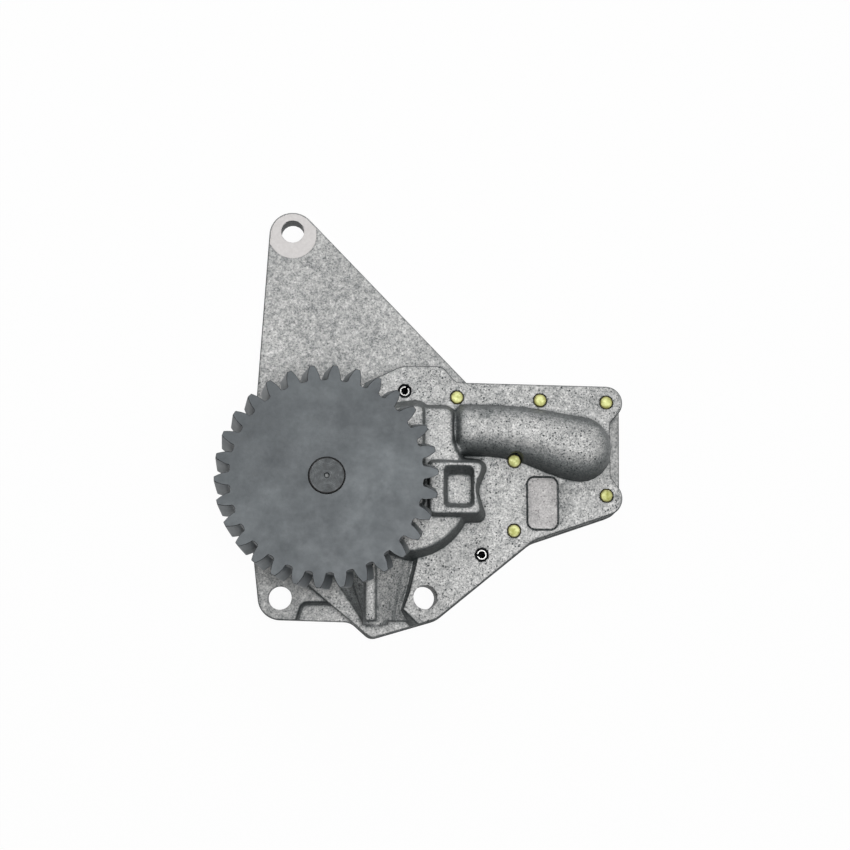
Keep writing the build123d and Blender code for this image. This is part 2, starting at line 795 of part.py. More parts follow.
def relief_spring():
    """Coil spring between the shim and the piston's crown."""
    bottom_y = valve_mouth_y + plug_length + shim_thickness
    top_y = valve_seat_y - valve_rest_gap - piston_crown
    length = top_y - bottom_y
    coil_radius = valve_bore / 2 - running_room - piston_wall - spring_room - spring_wire / 2
    rise = length - spring_wire
    path = Helix(pitch=rise / spring_turns, height=rise, radius=coil_radius)
    section = Plane(origin=path @ 0, z_dir=path % 0) * RegularPolygon(spring_wire / 2, 6)
    coil = sweep(section, path=path, is_frenet=True)
    return Pos(valve_x, bottom_y + spring_wire / 2, valve_z) * Rot(-90, 0, 0) * coil


shaft_key = key_block()

parts = {
    "rear_housing": rear_housing(),
    "front_housing": front_housing(),
    "cover_screws": Compound(children=[cover_screw(spot) for spot in screw_spots]),
    "upper_spring_pin": spring_pin(upper_pin_spot, upper_pin_slot_angle),
    "lower_spring_pin": spring_pin(lower_pin_spot, lower_pin_slot_angle),
    "drive_gear": drive_gear(),
    "drive_shaft": drive_shaft(),
    "pump_gear_key": shaft_key,
    "pump_drive_gear": driving_pump_gear(),
    "pump_idler_gear": idler_gear(),
    "idler_bush": idler_bush(),
    "idler_shaft": idler_shaft(),
    "front_bush": shaft_bush(tower_z - front_bush_length, front_bush_length),
    "rear_bush": shaft_bush(parting_z - rear_bush_length, rear_bush_length),
    "thrust_washer": thrust_washer(),
    "pressure_port_seal": port_seal(pressure_spot, pressure_bore),
    "suction_port_seal": port_seal(suction_spot, suction_bore),
    "relief_piston": relief_piston(),
    "relief_spring": relief_spring(),
    "relief_shim": relief_shim(),
    "relief_plug": relief_plug(),
}

for name, solid in parts.items():
    export_step(solid, f"parts/{name}.step")
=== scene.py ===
import json
import math

import bpy
import bmesh
import numpy as np
from mathutils import Matrix, Vector


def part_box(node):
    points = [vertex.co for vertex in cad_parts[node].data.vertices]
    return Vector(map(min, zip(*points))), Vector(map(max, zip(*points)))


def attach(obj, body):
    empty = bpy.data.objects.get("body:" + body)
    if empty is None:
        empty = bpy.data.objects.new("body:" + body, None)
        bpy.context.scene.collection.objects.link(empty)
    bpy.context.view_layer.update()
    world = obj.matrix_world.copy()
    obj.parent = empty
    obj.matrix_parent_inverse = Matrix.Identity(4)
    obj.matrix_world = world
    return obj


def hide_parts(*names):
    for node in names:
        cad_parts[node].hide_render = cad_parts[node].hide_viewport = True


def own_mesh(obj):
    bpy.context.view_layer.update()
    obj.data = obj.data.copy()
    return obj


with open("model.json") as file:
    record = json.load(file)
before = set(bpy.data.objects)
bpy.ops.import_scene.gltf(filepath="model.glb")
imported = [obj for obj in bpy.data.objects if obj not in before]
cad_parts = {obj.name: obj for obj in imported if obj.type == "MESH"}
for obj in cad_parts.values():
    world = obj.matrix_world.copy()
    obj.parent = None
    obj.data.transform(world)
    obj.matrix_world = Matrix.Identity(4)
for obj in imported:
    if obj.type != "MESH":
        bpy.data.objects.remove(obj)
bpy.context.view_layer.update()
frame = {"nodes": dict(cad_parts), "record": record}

# Engine oil pump. Lengths are in metres in the part's own frame: the shaft runs along +Z, and the part
# lies on its back, so the photograph looks down on it from the drive gear's side.

MM = 0.001
nodes = frame["nodes"]

# Heights read from the frame: the joint between the castings, the flange's face and the pumping chamber
plate_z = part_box("rear_housing")[1].z
flange_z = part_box("upper_spring_pin")[1].z + 0.5 * MM
chamber_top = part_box("pump_drive_gear")[1].z + 0.6 * MM
spot_face_z = plate_z - 0.4 * MM

# Blank pad on the flange, in millimetres: its middle, and the region that stays unsmoothed for its groove
pad_x, pad_y = 100.5, -7.6
pad_region = (92.0, 109.0, -21.5, 6.5)

# Room round the fasteners, and most triangles that a casting may have
screw_room = 0.30 * MM
pin_room = 0.25 * MM
casting_triangles = 190000

# Drive gear, as in the CAD model
gear_teeth = 30
gear_module = 3.0 * MM
gear_dedendum = 1.2
gear_backlash = 0.3 * MM
gear_pressure_angle = math.radians(20.0)
gear_helix = math.radians(11.0)
gear_first_tooth = math.radians(86.2)
transverse_module = gear_module / math.cos(gear_helix)


def new_material(name):
    """Empty node material with one Principled shader; gives the tree, the shader and the position."""
    material = bpy.data.materials.new(name)
    material.use_nodes = True
    tree = material.node_tree
    shader = tree.nodes["Principled BSDF"]
    place = tree.nodes.new("ShaderNodeTexCoord")
    return material, tree, shader, place


def noise(tree, place, scale, detail=3.0, roughness=0.6):
    """Noise over the position, with the scale in features per metre."""
    node = tree.nodes.new("ShaderNodeTexNoise")
    node.inputs["Scale"].default_value = scale
    node.inputs["Detail"].default_value = detail
    node.inputs["Roughness"].default_value = roughness
    tree.links.new(place.outputs["Object"], node.inputs["Vector"])
    return node.outputs["Fac"]


def ramp(tree, value, stops):
    """Colour ramp through (position, colour) stops."""
    node = tree.nodes.new("ShaderNodeValToRGB")
    elements = node.color_ramp.elements
    while len(elements) < len(stops):
        elements.new(0.5)
    for element, (position, colour) in zip(elements, stops):
        element.position = position
        element.color = (*colour, 1.0) if len(colour) == 3 else colour
    tree.links.new(value, node.inputs["Fac"])
    return node.outputs["Color"]


def grey(level):
    """Neutral colour of a linear level."""
    return (level, level, level)


def mix(tree, factor, first, second, mode="MIX"):
    """Mix of two colours, each a socket or a plain colour, by a factor."""
    node = tree.nodes.new("ShaderNodeMix")
    node.data_type = "RGBA"
    node.blend_type = mode
    node.clamp_factor = True
    factor_socket, first_colour, second_colour = node.inputs[0], node.inputs[6], node.inputs[7]
    for socket, value in ((factor_socket, factor), (first_colour, first), (second_colour, second)):
        if isinstance(value, bpy.types.NodeSocket):
            tree.links.new(value, socket)
        elif isinstance(value, tuple):
            socket.default_value = (*value, 1.0)
        else:
            socket.default_value = value
    return node.outputs[2]


def math_node(tree, operation, first, second=None):
    """Result of a Math node on one or two values, each a socket or a number."""
    node = tree.nodes.new("ShaderNodeMath")
    node.operation = operation
    for socket, value in zip(node.inputs, (first, second)):
        if isinstance(value, bpy.types.NodeSocket):
            tree.links.new(value, socket)
        elif value is not None:
            socket.default_value = value
    return node.outputs[0]


def bump(tree, shader, height, distance, below=None):
    """Bump of a real height, in metres, on the shader's normal, over another one if it is given."""
    node = tree.nodes.new("ShaderNodeBump")
    node.inputs["Strength"].default_value = 1.0
    node.inputs["Distance"].default_value = distance
    tree.links.new(height, node.inputs["Height"])
    if below is not None:
        tree.links.new(below, node.inputs["Normal"])
    tree.links.new(node.outputs["Normal"], shader.inputs["Normal"])
    return node.outputs["Normal"]


def rescale(tree, value, low, high, out_low, out_high):
    """Value moved from low..high to out_low..out_high, and held there."""
    node = tree.nodes.new("ShaderNodeMapRange")
    node.inputs["From Min"].default_value = low
    node.inputs["From Max"].default_value = high
    node.inputs["To Min"].default_value = out_low
    node.inputs["To Max"].default_value = out_high
    tree.links.new(value, node.inputs["Value"])
    return node.outputs["Result"]


def times(tree, *values):
    """Product of several values."""
    total = values[0]
    for value in values[1:]:
        total = math_node(tree, "MULTIPLY", total, value)
    return total


def apart(tree, value, level):
    """How far a value is from a level."""
    return math_node(tree, "ABSOLUTE", math_node(tree, "SUBTRACT", value, level))


def axes_of(tree, vector):
    """The X, Y and Z of a vector."""
    node = tree.nodes.new("ShaderNodeSeparateXYZ")
    tree.links.new(vector, node.inputs[0])
    return node.outputs


def upright(tree, place):
    """How far a face looks along the shaft: 1 on the flats, 0 on an upright wall."""
    return math_node(tree, "ABSOLUTE", axes_of(tree, place.outputs["Normal"])["Z"])


def crevice(tree, reach):
    """Openness of a place within a small reach, 0 in a corner and 1 in the open."""
    node = tree.nodes.new("ShaderNodeAmbientOcclusion")
    node.samples = 6
    node.inputs["Distance"].default_value = reach
    return node.outputs["AO"]


def dots(tree, place, cells, size, share, clusters):
    """Round specks in loose clusters: 1 in the middle of a speck and 0 outside."""
    node = tree.nodes.new("ShaderNodeTexVoronoi")
    node.inputs["Scale"].default_value = cells
    tree.links.new(place.outputs["Object"], node.inputs["Vector"])
    pick = axes_of(tree, node.outputs["Color"])
    crowd = rescale(tree, noise(tree, place, clusters, 2, 0.5), 0.35, 0.65, -0.35, 0.35)
    there = rescale(tree, math_node(tree, "ADD", pick["X"], crowd), 1.0 - share, 1.12 - share, 0.0, 1.0)
    reach = rescale(tree, pick["Y"], 0.0, 1.0, 0.45 * size, size)
    depth = math_node(tree, "SUBTRACT", reach, node.outputs["Distance"])
    return times(tree, rescale(tree, depth, -0.05, 0.14, 0.0, 1.0), there)


def cast_aluminium():
    """Blasted casting skin: cloudy grey with dark pores, painted shade on its slopes, walls and edges and in
    its corners, and a machined spot face.
    """
    material, tree, shader, place = new_material("cast_aluminium")
    position = axes_of(tree, place.outputs["Object"])
    height = position["Z"]
    flat = upright(tree, place)

    # Clouds, grain and specks, with fewer specks on the bracket arm than on the flange
    flange_start, flange_end = plate_z + 4 * MM, plate_z + 8 * MM
    clouds = rescale(tree, noise(tree, place, 38, 4, 0.6), 0.3, 0.7, 0.82, 1.16)
    mottle = rescale(tree, noise(tree, place, 330, 3, 0.7), 0.3, 0.7, 0.72, 1.30)
    grain = rescale(tree, noise(tree, place, 1150, 2, 0.7), 0.25, 0.75, 0.40, 1.62)
    stains = rescale(tree, noise(tree, place, 75, 4, 0.65), 0.56, 0.70, 1.0, 0.70)
    flange = rescale(tree, height, flange_start, flange_end, 0.45, 1.0)
    coarse = times(tree, dots(tree, place, 760, 0.38, 0.42, 45), flange)
    small = times(tree, dots(tree, place, 1400, 0.44, 0.52, 90), flange)
    speckle = times(
        tree, rescale(tree, coarse, 0, 1, 1.0, 0.10), rescale(tree, small, 0, 1, 1.0, 0.22), stains)
    lift = rescale(tree, height, flange_start, flange_end, 1.0, 1.14)

    # Painted shade: darker slopes and walls, darker faces that look towards -Y, a dark band under the two
    # flat faces' edges, and darkening in corners and seams
    slope_shade = rescale(tree, flat, 0.62, 0.985, 0.38, 1.0)
    wall = rescale(tree, flat, 0.20, 0.62, 0.66, 1.0)
    # Painted shade: faces that look towards -Y are darker, down to 0.40
    down = rescale(tree, axes_of(tree, place.outputs["Normal"])["Y"], -0.90, -0.15, 0.40, 1.0)
    # Painted shade: a dark band on the steep walls just under the edges of the flange and the plate
    band_drop, band_inner, band_outer = 0.7 * MM, 0.5 * MM, 0.8 * MM
    edge_shade_bands = [
        rescale(tree, apart(tree, height, level - band_drop), band_inner, band_outer, 1.0, 0.0)
        for level in (flange_z, plate_z)]
    steep = rescale(tree, flat, 0.70, 0.92, 1.0, 0.0)
    outline = rescale(tree, times(tree, math_node(tree, "MAXIMUM", *edge_shade_bands), steep), 0, 1, 1.0, 0.35)
    # Painted shade in corners and seams: darker where the casting is closed in within 3.5 mm and 1.4 mm
    corner = rescale(tree, crevice(tree, 3.5 * MM), 0.25, 0.85, 0.20, 1.0)
    seam_shade = rescale(tree, crevice(tree, 1.4 * MM), 0.52, 0.90, 0.14, 1.0)

    tone = times(tree, clouds, mottle, grain, speckle, slope_shade, wall, down, outline, lift, corner, seam_shade)
    skin = ramp(tree, times(tree, tone, 0.5), [
        (0.0, (0.016, 0.021, 0.022)), (0.25, (0.186, 0.197, 0.198)), (0.50, (0.430, 0.432, 0.428)),
        (1.0, (0.860, 0.855, 0.840))])

    # The blank pad is smoother and warmer than the skin round it
    pad = times(
        tree,
        rescale(tree, apart(tree, position["X"], pad_x * MM), 6.4 * MM, 6.9 * MM, 1.0, 0.0),
        rescale(tree, apart(tree, position["Y"], pad_y * MM), 11.4 * MM, 11.9 * MM, 1.0, 0.0),
        rescale(tree, height, flange_z - 0.2 * MM, flange_z - 0.1 * MM, 0.0, 0.45))
    skin = mix(tree, pad, skin, (0.520, 0.490, 0.490))

    # Machined spot face on the top lug
    machined = times(
        tree,
        rescale(tree, apart(tree, height, spot_face_z), 0.12 * MM, 0.18 * MM, 1.0, 0.0),
        rescale(tree, flat, 0.97, 0.99, 0, 1))
    satin = ramp(
        tree, noise(tree, place, 700, 3, 0.6), [(0.3, (0.610, 0.588, 0.580)), (0.7, (0.680, 0.658, 0.650))])
    tree.links.new(mix(tree, machined, skin, satin), shader.inputs["Base Color"])

    shader.inputs["Metallic"].default_value = 0.12
    shader.inputs["Specular IOR Level"].default_value = 0.25
    rough = rescale(tree, noise(tree, place, 300), 0.3, 0.7, 0.46, 0.58)
    tree.links.new(rough, shader.inputs["Roughness"])
    rawness = rescale(tree, machined, 0, 1, 1.0, 0.15)
    fine = bump(tree, shader, times(tree, noise(tree, place, 1000, 3, 0.7), rawness), 0.16 * MM)
    pitted = bump(tree, shader, rescale(tree, coarse, 0, 1, 1.0, 0.0), 0.12 * MM, below=fine)
    bump(tree, shader, times(tree, noise(tree, place, 150, 3, 0.6), rawness), 0.30 * MM, below=pitted)
    return material


def dark_steel():
    """Phosphated and oiled gear steel, cloudy blue-grey, with painted shade in the roots and corners and on
    the broken edges, and tooth flanks painted lighter than the faces.
    """
    material, tree, shader, place = new_material("dark_steel")
    clouds = ramp(
        tree, noise(tree, place, 42, 5, 0.62),
        [(0.34, (0.064, 0.073, 0.080)), (0.66, (0.102, 0.115, 0.123))])
    fine = rescale(tree, noise(tree, place, 520, 3, 0.7), 0.3, 0.7, 0.90, 1.09)
    # Painted shade in the roots and corners: darker where the gear is closed in within 3 mm
    crevice_shade = rescale(tree, crevice(tree, 3.0 * MM), 0.30, 0.90, 0.25, 1.0)
    # Painted light and shade by facing: tooth flanks lighter than the flat faces, the broken edges dark
    flank_light_and_edge_shade = ramp(tree, upright(tree, place), [
        (0.0, grey(0.95)), (0.5, grey(0.95)), (0.6, grey(0.16)), (0.85, grey(0.16)), (0.97, grey(0.70))])
    shade = times(tree, fine, crevice_shade, 1.4)
    tinted = mix(tree, 1.0, clouds, flank_light_and_edge_shade, "MULTIPLY")
    tree.links.new(mix(tree, 1.0, tinted, shade, "MULTIPLY"), shader.inputs["Base Color"])
    shader.inputs["Metallic"].default_value = 0.25
    tree.links.new(rescale(tree, noise(tree, place, 120), 0.3, 0.7, 0.44, 0.56), shader.inputs["Roughness"])
    bump(tree, shader, noise(tree, place, 1200, 3, 0.6), 0.03 * MM)
    return material


def turned_steel():
    """Shaft end: oiled steel with lathe rings round the centre hole, a painted highlight in the middle and a
    dark rim of painted shade.
    """
    material, tree, shader, place = new_material("turned_steel")
    parts = axes_of(tree, place.outputs["Object"])
    radius = math_node(tree, "SQRT", math_node(
        tree, "ADD", times(tree, parts["X"], parts["X"]), times(tree, parts["Y"], parts["Y"])))
    rings = math_node(tree, "SINE", times(tree, radius, 9000.0))
    smear = rescale(tree, noise(tree, place, 420, 4, 0.7), 0.3, 0.7, 0.50, 1.50)
    turned = rescale(tree, rings, -1, 1, 0.86, 1.14)
    # Painted shade: a dark ring at the rim of the shaft end, where the shaft's chamfer meets the gear's bore
    rim = rescale(tree, radius, 7.20 * MM, 7.45 * MM, 1.0, 0.04)
    # Painted highlight: the middle of the shaft end is made up to nine times lighter
    centre_highlight = rescale(tree, radius, 0.50 * MM, 0.85 * MM, 9.0, 1.0)
    tone = times(tree, smear, turned, rim, centre_highlight, 0.26)
    tree.links.new(
        ramp(tree, tone, [(0.0, grey(0.0)), (0.3, (0.046, 0.053, 0.057)), (1.0, (0.42, 0.43, 0.43))]),
        shader.inputs["Base Color"])
    shader.inputs["Metallic"].default_value = 0.25
    tree.links.new(rescale(tree, noise(tree, place, 200), 0.3, 0.7, 0.40, 0.52), shader.inputs["Roughness"])
    bump(tree, shader, rings, 0.01 * MM)
    return material


def spring_steel():
    """Blackened spring steel, rubbed bright on the flat ends."""
    material, tree, shader, place = new_material("black_spring_steel")
    black = ramp(
        tree, noise(tree, place, 500, 4, 0.6),
        [(0.33, (0.018, 0.018, 0.020)), (0.67, (0.045, 0.045, 0.050))])
    end_colour = ramp(
        tree, noise(tree, place, 900, 3, 0.6), [(0.33, (0.34, 0.34, 0.33)), (0.67, (0.62, 0.62, 0.60))])
    bare = rescale(tree, upright(tree, place), 0.90, 0.97, 0.0, 1.0)
    tree.links.new(mix(tree, bare, black, end_colour), shader.inputs["Base Color"])
    shader.inputs["Metallic"].default_value = 0.4
    tree.links.new(rescale(tree, noise(tree, place, 900), 0.3, 0.7, 0.30, 0.45), shader.inputs["Roughness"])
    bump(tree, shader, noise(tree, place, 1500, 3, 0.6), 0.02 * MM)
    return material


def yellow_zinc(screws):
    """Yellow passivated zinc on the screws, darker and more olive towards the rim of each end, and dark
    olive on the chamfers and sides.
    """
    material, tree, shader, place = new_material("yellow_zinc")
    level = tree.nodes.new("ShaderNodeVectorMath")
    level.operation = "MULTIPLY"
    level.inputs[1].default_value = (1, 1, 0)
    tree.links.new(place.outputs["Object"], level.inputs[0])
    nearest = 1.0
    for x, y, _ in screws:
        away = tree.nodes.new("ShaderNodeVectorMath")
        away.operation = "DISTANCE"
        away.inputs[1].default_value = (x, y, 0)
        tree.links.new(level.outputs[0], away.inputs[0])
        nearest = math_node(tree, "MINIMUM", away.outputs["Value"], nearest)
    tint = ramp(
        tree, noise(tree, place, 270, 3, 0.6), [(0.36, (0.38, 0.39, 0.08)), (0.60, (0.76, 0.79, 0.33))])
    rim = ramp(
        tree, noise(tree, place, 700, 3, 0.6), [(0.35, (0.10, 0.09, 0.03)), (0.65, (0.22, 0.20, 0.07))])
    # The chamfers and sides are dark olive, and each end turns darker and more olive towards its rim
    side = rescale(tree, upright(tree, place), 0.72, 0.85, 1.0, 0.0)
    darker_to_rim = rescale(tree, nearest, 1.5 * MM, 2.7 * MM, 0.0, 1.0)
    olive = mix(tree, darker_to_rim, (1.0, 1.0, 1.0), (0.50, 0.47, 0.30))
    end_colour = mix(tree, 1.0, tint, olive, "MULTIPLY")
    tree.links.new(mix(tree, side, end_colour, rim), shader.inputs["Base Color"])
    shader.inputs["Metallic"].default_value = 0.1
    rough = ramp(tree, noise(tree, place, 900), [(0.3, grey(0.34)), (0.7, grey(0.46))])
    tree.links.new(rough, shader.inputs["Roughness"])
    bump(tree, shader, noise(tree, place, 330, 1, 0.4), 0.45 * MM)
    return material


def plain_finish(name, dark, light, metallic, rough_low, rough_high):
    """Metal or rubber with mottling, uneven gloss and a fine surface."""
    material, tree, shader, place = new_material(name)
    colour = ramp(tree, noise(tree, place, 400, 4, 0.6), [(0.33, dark), (0.67, light)])
    tree.links.new(colour, shader.inputs["Base Color"])
    shader.inputs["Metallic"].default_value = metallic
    rough = ramp(tree, noise(tree, place, 800), [(0.3, grey(rough_low)), (0.7, grey(rough_high))])
    tree.links.new(rough, shader.inputs["Roughness"])
    bump(tree, shader, noise(tree, place, 1200, 3, 0.6), 0.02 * MM)
    return material


def paint(names, material):
    """Give CAD nodes a material in place of their own."""
    for name in names:
        slots = nodes[name].data.materials
        slots.clear()
        slots.append(material)


def copy_of_node(node, name):
    """New piece with a node's mesh, its split vertices merged."""
    mesh = nodes[node].data.copy()
    mesh.name = name
    work = bmesh.new()
    work.from_mesh(mesh)
    bmesh.ops.remove_doubles(work, verts=work.verts, dist=0.001 * MM)
    work.to_mesh(mesh)
    work.free()
    piece = bpy.data.objects.new(name, mesh)
    bpy.context.scene.collection.objects.link(piece)
    return piece


def bake_modifiers(piece):
    """Put the result of a piece's modifiers in its mesh."""
    graph = bpy.context.evaluated_depsgraph_get()
    mesh = bpy.data.meshes.new_from_object(piece.evaluated_get(graph))
    piece.modifiers.clear()
    old = piece.data
    piece.data = mesh
    bpy.data.meshes.remove(old)


def holes_of(nodes_with_holes):
    """Axis and radius of the upright pins and screws that fill holes in the front face."""
    found = []
    for name in nodes_with_holes:
        work = bmesh.new()
        work.from_mesh(nodes[name].data)
        bmesh.ops.remove_doubles(work, verts=work.verts, dist=0.001 * MM)
        left = set(work.verts)
        while left:
            group, stack = [], [left.pop()]
            while stack:
                vert = stack.pop()
                group.append(vert.co)
                for edge in vert.link_edges:
                    other = edge.other_vert(vert)
                    if other in left:
                        left.discard(other)
                        stack.append(other)
            top = [co for co in group if co.z > plate_z]
            xs, ys = [co.x for co in top], [co.y for co in top]
            found.append(((min(xs) + max(xs)) / 2, (min(ys) + max(ys)) / 2, (max(xs) - min(xs)) / 2))
        work.free()
    return found


def bores(*names):
    """Centre and radius of the bores that the record lists as mounts."""
    return [
        (mount["pos_m"][0], mount["pos_m"][1], mount["dims"]["r_mm"] * MM)
        for mount in frame["record"]["mounts"] if mount["name"] in names]


def circle_round(node, spare=0.0):
    """Centre and radius of the circle round a node, seen along the shaft."""
    low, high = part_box(node)
    return (low.x + high.x) / 2, (low.y + high.y) / 2, (high.x - low.x) / 2 + spare


def smooth(places, edges, weight, reach, spacing):
    """Blur the places over the mesh by about a reach, where the weight allows it."""
    inside = (weight[edges[:, 0]] > 0) | (weight[edges[:, 1]] > 0)
    kept = edges[inside]
    used, order = np.unique(kept, return_inverse=True)
    first, second = order.reshape(-1, 2).T
    count = len(used)
    degree = np.bincount(np.concatenate([first, second]), minlength=count)[:, None]
    local = places[used]
    share = 0.5 * weight[used][:, None]
    for _ in range(round((2 * reach / spacing) ** 2)):
        total = np.zeros_like(local)
        for axis in range(3):
            ahead = np.bincount(first, local[second, axis], count)
            total[:, axis] = ahead + np.bincount(second, local[first, axis], count)
        local += share * (total / degree - local)
    places[used] = local


def soft_casting(node, name, holes, levels, softness, finish=None):
    """Casting with the soft fillets of a real one: remeshed, smoothed where it may be and thinned out."""
    voxel = 0.35 * MM
    fillet = 0.75 * MM
    collar = 0.8 * MM
    piece = copy_of_node(node, name)
    remesh = piece.modifiers.new("remesh", "REMESH")
    remesh.mode = "VOXEL"
    remesh.voxel_size = voxel
    bake_modifiers(piece)

    mesh = piece.data
    count = len(mesh.vertices)
    places = np.empty(count * 3, np.float64)
    mesh.vertices.foreach_get("co", places)
    places = places.reshape(-1, 3)
    edges = np.empty(len(mesh.edges) * 2, np.int64)
    mesh.edges.foreach_get("vertices", edges)
    edges = edges.reshape(-1, 2)
    for level in levels:
        near = np.abs(places[:, 2] - level) < 0.3 * voxel
        places[near, 2] = level
    weight = softness(places)
    for x, y, radius in holes:
        away = np.hypot(places[:, 0] - x, places[:, 1] - y)
        inside = np.abs(away - radius) < 0.7 * voxel
        scale = radius / np.maximum(away[inside], 1e-9)
        places[inside, 0] = x + (places[inside, 0] - x) * scale
        places[inside, 1] = y + (places[inside, 1] - y) * scale
        weight[away < radius + collar] = 0
    smooth(places, edges, weight, fillet, voxel)
    if finish:
        finish(places, edges, voxel)
    mesh.vertices.foreach_set("co", places.ravel())

    thin = piece.modifiers.new("thin", "DECIMATE")
    thin.ratio = min(1.0, casting_triangles / (2 * len(mesh.polygons)))
    bake_modifiers(piece)
    piece.data.shade_smooth()
    piece.data.set_sharp_from_angle(angle=math.radians(50))
    return piece


def within(places, x_low, x_high, y_low, y_high):
    """Whether each place is inside an upright box, given in millimetres."""
    x, y = places[:, 0] / MM, places[:, 1] / MM
    return (x > x_low) & (x < x_high) & (y > y_low) & (y < y_high)


def front_softness(places):
    """Full smoothing on the raised forms, little on the flange's outline and none in the machined inside."""
    x, y, z = places.T
    weight = np.clip((z - flange_z + 0.3 * MM) / (1.0 * MM), 0.06, 1)
    weight[z < plate_z + 0.8 * MM] = 0
    weight[within(places, *pad_region) & (z > flange_z - 1 * MM)] = 0
    for node in ("pump_drive_gear", "pump_idler_gear"):
        centre_x, centre_y, radius = circle_round(node, 1.4 * MM)
        weight[(np.hypot(x - centre_x, y - centre_y) < radius) & (z < chamber_top)] = 0
    centre_x, centre_y, radius = circle_round("front_bush", 1.0 * MM)
    weight[np.hypot(x - centre_x, y - centre_y) < radius] = 0
    low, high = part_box("relief_plug")
    from_valve = np.hypot(x - (low.x + high.x) / 2, z - (low.z + high.z) / 2)
    weight[from_valve < (high.x - low.x) / 2 + 1 * MM] = 0
    return weight


def finish_front(places, edges, voxel):
    """Run the duct's end down into its valley, and scribe the outline of the blank pad."""
    x, y, z = places.T / MM
    feather = np.clip((x - 58.4) / 1.5, 0, 1) * np.clip((68.0 - x) / 3.0, 0, 1)
    feather *= np.clip((y - 14.5) / 2.0, 0, 1) * np.clip((39.0 - y) / 2.0, 0, 1)
    feather *= np.clip((z - flange_z / MM - 0.5) / 1.0, 0, 1)
    smooth(places, edges, feather, 2.4 * MM, voxel)

    half_x, half_y, corner = 7.2, 12.3, 3.6
    groove_depth, groove_half_width = 0.65, 0.45
    over_x = np.abs(x - pad_x) - (half_x - corner)
    over_y = np.abs(y - pad_y) - (half_y - corner)
    outside = np.hypot(np.maximum(over_x, 0), np.maximum(over_y, 0))
    away = outside + np.minimum(np.maximum(over_x, over_y), 0) - corner
    line = (np.abs(away) < 1.3) & (np.abs(places[:, 2] - flange_z) < 0.9 * MM)
    depth = groove_depth * np.clip(1 - (away / groove_half_width) ** 2, 0, 1)
    places[line, 2] = flange_z - depth[line] * MM


def rear_softness(places):
    """Some smoothing along the outline, none on the machined back and its bores."""
    x, y, z = places.T
    weight = np.clip((z - 0.6 * MM) / (1.0 * MM), 0, 0.45)
    for node in ("pump_drive_gear", "rear_bush", "idler_shaft", "pressure_port_seal", "suction_port_seal"):
        centre_x, centre_y, radius = circle_round(node, 1.4 * MM)
        weight[np.hypot(x - centre_x, y - centre_y) < radius] = 0
    return weight


def involute(ratio):
    """Angle that an involute has turned where its radius is ratio times the base radius."""
    roll = math.sqrt(max(ratio * ratio - 1, 0))
    return roll - math.atan(roll)


def gear_outline():
    """Outline of the drive gear's front face in polar form: involute flanks on rounded roots."""
    pitch_radius = 0.5 * gear_teeth * transverse_module
    tip_radius = pitch_radius + gear_module
    root_radius = pitch_radius - gear_dedendum * gear_module
    pressure = math.atan(math.tan(gear_pressure_angle) / math.cos(gear_helix))
    base_radius = pitch_radius * math.cos(pressure)
    half_tooth = (math.pi / 2 - gear_backlash / (2 * transverse_module)) / gear_teeth
    half_base = half_tooth + math.tan(pressure) - pressure
    half_pitch = math.pi / gear_teeth
    corner = 0.14 * MM
    root_steps, flank_steps = 6, 8
    side = []
    for step in range(root_steps):
        turn = math.pi / 2 * (1 - step / root_steps)
        side.append((
            base_radius - (base_radius - root_radius) * math.sin(turn),
            half_pitch - (half_pitch - half_base) * math.cos(turn)))
    for step in range(flank_steps + 1):
        radius = base_radius + (tip_radius - corner - base_radius) * step / flank_steps
        side.append((radius, half_base - involute(radius / base_radius)))
    side.append((tip_radius, side[-1][1] - corner / tip_radius))
    outline = []
    for tooth in range(gear_teeth):
        middle = gear_first_tooth + 2 * half_pitch * tooth
        outline += [(radius, middle - angle) for radius, angle in side]
        outline.append((tip_radius, middle))
        outline += [(radius, middle + angle) for radius, angle in reversed(side[1:])]
    return outline


